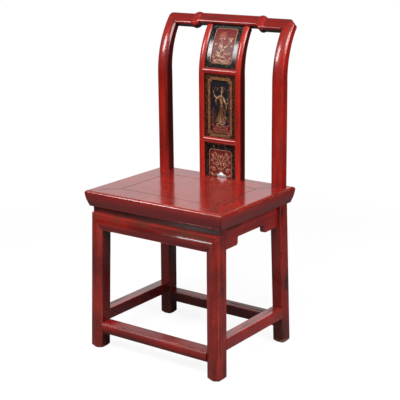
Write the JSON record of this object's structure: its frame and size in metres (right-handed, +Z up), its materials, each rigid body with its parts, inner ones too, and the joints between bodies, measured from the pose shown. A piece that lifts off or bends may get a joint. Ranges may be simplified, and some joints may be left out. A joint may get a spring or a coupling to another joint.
{
  "type": "lacquered side chair",
  "caption": "Red lacquered side chair with a curved back, a carved panelled splat, a framed seat over a waist, splayed legs and stretchers.",
  "frame": {"origin": "centre of the footprint's box, on the floor", "axes": "+X to the right as seen from in front, +Y from front to back, +Z up"},
  "size_m": [0.504, 0.446, 1.0058],
  "materials": {
    "frame_lacquer": "old red lacquer on hardwood, glossy, worn to brown along the edges",
    "seat_lacquer": "red lacquer on hardwood, very glossy on top, worn brown under the nose",
    "splat_lacquer": "bright red lacquer on hardwood, glossy",
    "panel_lacquer": "black lacquer with flecks of gold and a deep red sunk field",
    "waist_lacquer": "dark maroon lacquer, dulled in the recess",
    "bare_wood": "unfinished hardwood",
    "gilt": "dull rubbed gilding on carved wood"
  },
  "bodies": {
    "root": {"front_left_leg": "frame_lacquer", "front_right_leg": "frame_lacquer", "rear_left_post": "frame_lacquer", "rear_right_post": "frame_lacquer", "crest_rail": "frame_lacquer", "front_stretcher": "frame_lacquer", "rear_stretcher": "frame_lacquer", "left_stretcher": "frame_lacquer", "right_stretcher": "frame_lacquer", "front_apron": "frame_lacquer", "left_apron": "frame_lacquer", "right_apron": "frame_lacquer", "rear_apron": "frame_lacquer", "seat_front_rail": "seat_lacquer", "seat_rear_rail": "seat_lacquer", "seat_left_rail": "seat_lacquer", "seat_right_rail": "seat_lacquer", "seat_panel": "seat_lacquer", "splat_left_stile": "splat_lacquer", "splat_right_stile": "splat_lacquer", "splat_upper_rail": "splat_lacquer", "splat_lower_rail": "splat_lacquer", "splat_upper_panel": "panel_lacquer", "splat_middle_panel": "panel_lacquer", "splat_lower_panel": "panel_lacquer", "front_waist": "waist_lacquer", "seat_left_batten": "bare_wood", "seat_right_batten": "bare_wood"}
  },
  "joints": []
}
